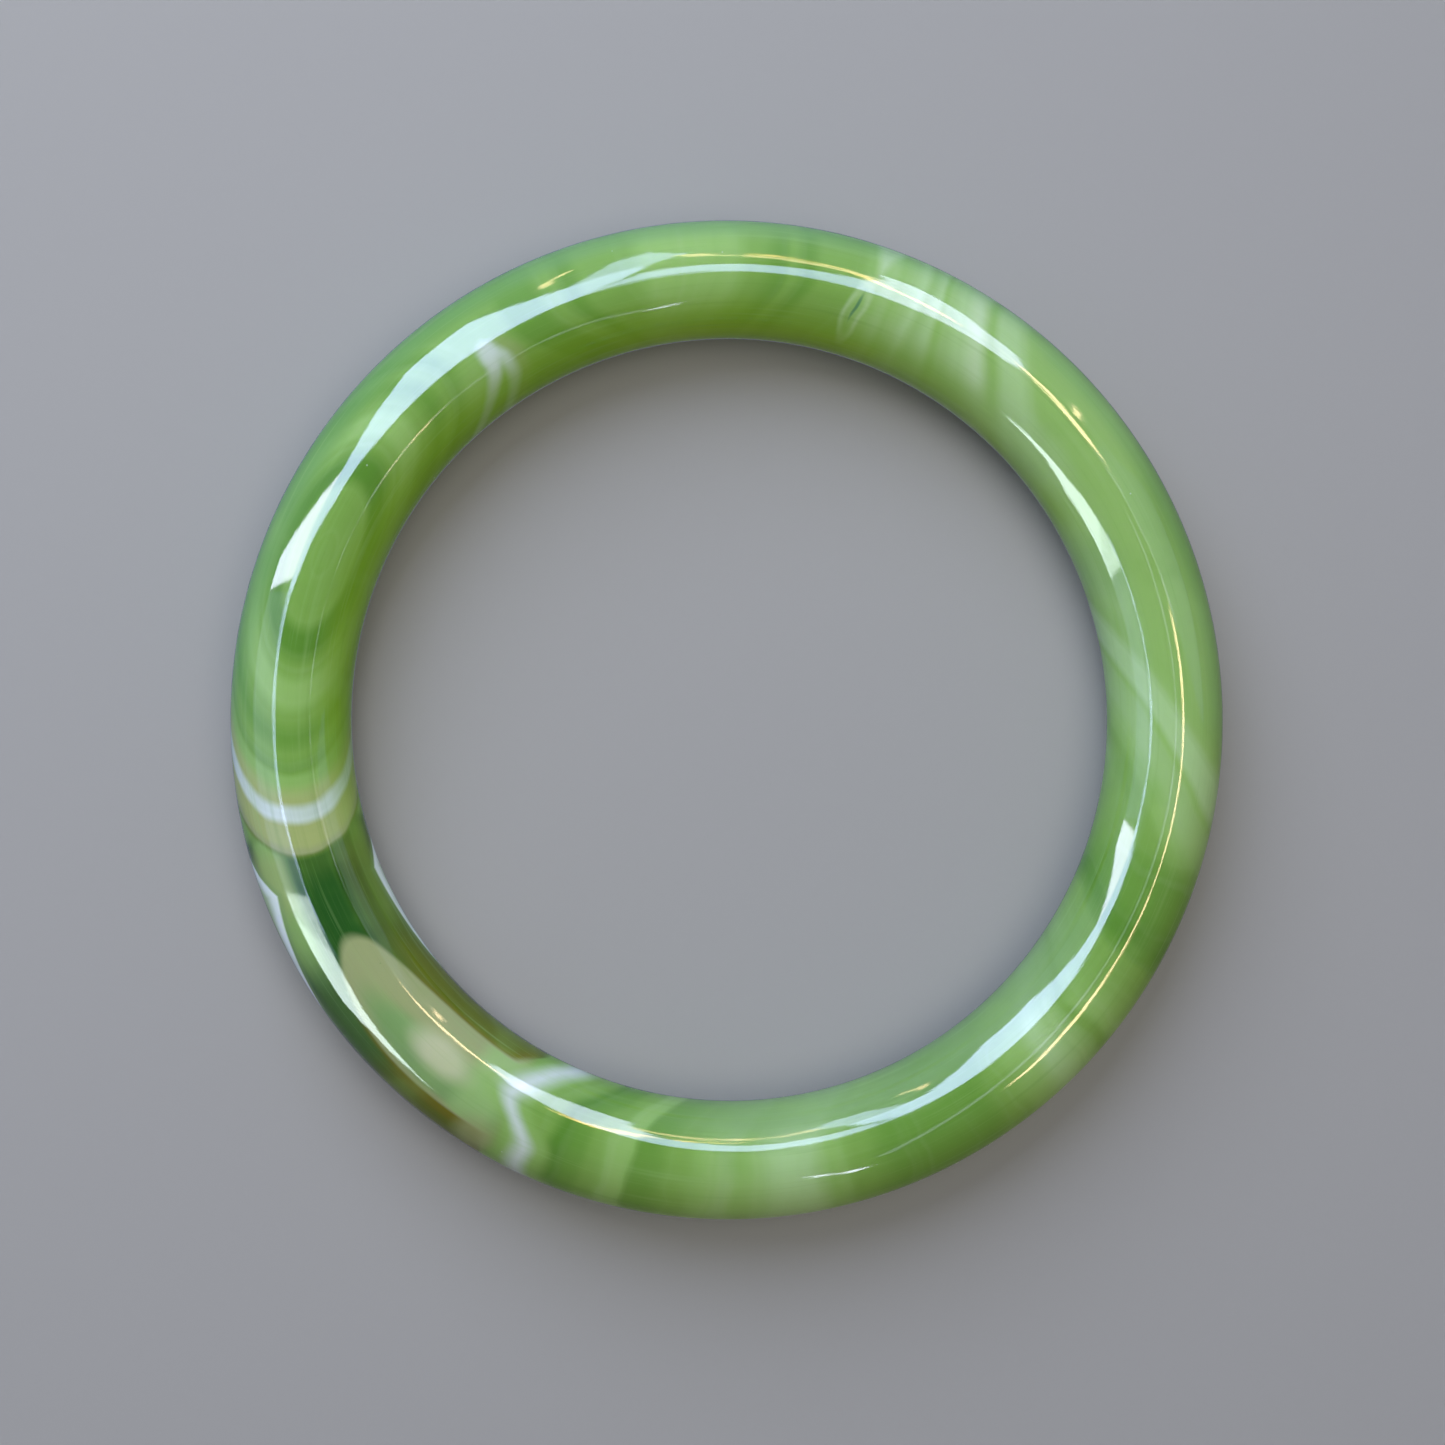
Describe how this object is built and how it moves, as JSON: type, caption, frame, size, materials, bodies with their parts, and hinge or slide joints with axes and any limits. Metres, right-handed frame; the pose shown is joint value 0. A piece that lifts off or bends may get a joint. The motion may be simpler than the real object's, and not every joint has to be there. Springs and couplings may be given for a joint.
{
  "type": "bangle bracelet",
  "caption": "Closed, rigid bangle bracelet: a round-section ring of polished green banded agate that slips over the hand onto the wrist.",
  "frame": {"origin": "centre of the ring, on the plane that it lies on", "axes": "+Z is the ring's own axis and points up out of the surface it lies on. +X points at the plain light green stretch of the ring and +Y at a quarter turn anticlockwise from it, seen from above; the stone's banding is the only thing that tells them apart."},
  "size_m": [0.0758, 0.0758, 0.0089],
  "materials": {
    "banded_agate": "polished"
  },
  "bodies": {
    "root": {"agate_ring": "banded_agate"}
  },
  "joints": []
}
